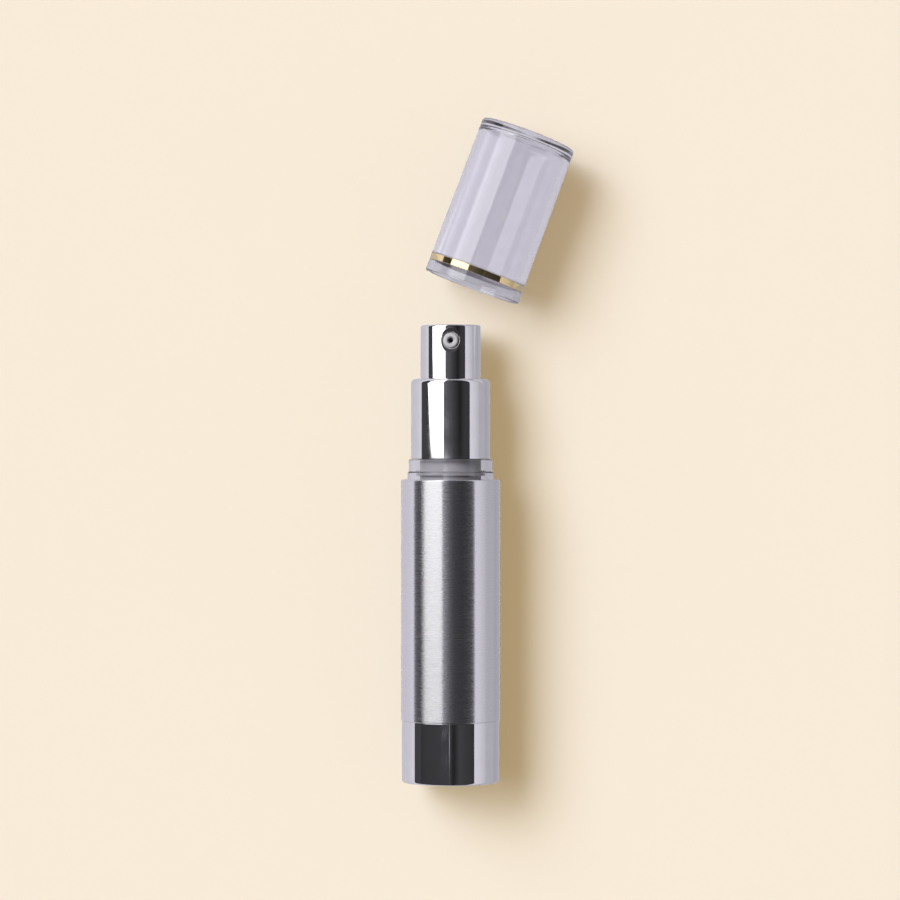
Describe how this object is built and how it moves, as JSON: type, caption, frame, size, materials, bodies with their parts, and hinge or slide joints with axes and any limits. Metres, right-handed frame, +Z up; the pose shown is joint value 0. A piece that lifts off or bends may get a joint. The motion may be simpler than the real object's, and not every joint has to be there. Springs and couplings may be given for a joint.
{
  "type": "airless pump bottle",
  "caption": "Slim airless pump bottle lying on its side, with a brushed sleeve, polished base, collar and actuator, and its overcap taken off beside it.",
  "frame": {"origin": "centre of the base's foot face, on the bottle's axis", "axes": "+Y along the bottle's axis from the base to the actuator, +Z up and out of the nozzle, as the bottle lies"},
  "size_m": [0.0417, 0.1608, 0.024],
  "materials": {
    "polished_metal": "polished",
    "brushed_metal": "satin",
    "gold_metal": "polished",
    "clear_plastic": "gloss",
    "milky_plastic": "satin",
    "liner_plastic": "satin",
    "white_plastic": "satin",
    "soft_plastic": "matte",
    "gasket": "matte",
    "steel": "polished"
  },
  "bodies": {
    "bottle": {"base_cup": "polished_metal", "body_sleeve": "brushed_metal", "shoulder_ring": "clear_plastic", "inner_bottle": "milky_plastic", "bottom_plug": "white_plastic"},
    "overcap": {"cap_shell": "clear_plastic", "cap_liner": "liner_plastic", "cap_ring": "gold_metal"},
    "pump": {"pump_housing": "white_plastic", "housing_lid": "white_plastic", "ball_cage": "white_plastic", "neck_gasket": "gasket", "return_spring": "steel"},
    "collar": {"screw_cap": "white_plastic", "collar_shell": "polished_metal"},
    "stem": {"stem": "white_plastic", "stem_plug": "white_plastic"},
    "piston": {"piston_seal": "soft_plastic"},
    "actuator": {"actuator_core": "white_plastic", "actuator_shell": "polished_metal", "nozzle_insert": "white_plastic"},
    "follower": {"follower_piston": "soft_plastic"},
    "ball": {"inlet_ball": "steel"}
  },
  "joints": [
    {"name": "cap_pull", "type": "slide", "parent": "bottle", "child": "overcap", "axis": [0.3502, 0.9367, 0], "range_m": [0, 0.04]},
    {"name": "pump_lift", "type": "slide", "parent": "bottle", "child": "pump", "axis": [0, 1, 0], "range_m": [0, 0.0045]},
    {"name": "collar_turn", "type": "hinge", "parent": "pump", "child": "collar", "pos_m": [0, 0.0834, 0], "axis": [0, 1, 0], "range_deg": [0, 540]},
    {"name": "actuator_press", "type": "slide", "parent": "pump", "child": "stem", "axis": [0, -1, 0], "range_m": [0, 0.0045], "stiffness_N_per_m": 1500, "springref_m": -0.002, "deforming": ["return_spring"]},
    {"name": "head_turn", "type": "hinge", "parent": "stem", "child": "actuator", "pos_m": [0, 0.1015, 0], "axis": [0, 1, 0], "continuous": true},
    {"name": "piston_lag", "type": "slide", "parent": "stem", "child": "piston", "axis": [0, 1, 0], "range_m": [0, 0.0006]},
    {"name": "follower_rise", "type": "slide", "parent": "bottle", "child": "follower", "axis": [0, 1, 0], "range_m": [0, 0.053]},
    {"name": "ball_lift", "type": "slide", "parent": "pump", "child": "ball", "axis": [0, 1, 0], "range_m": [0, 0.0008]}
  ],
  "couplings": [
    {"joint": "pump_lift", "follows": "collar_turn", "m_per_rad": 0.00047746}
  ]
}
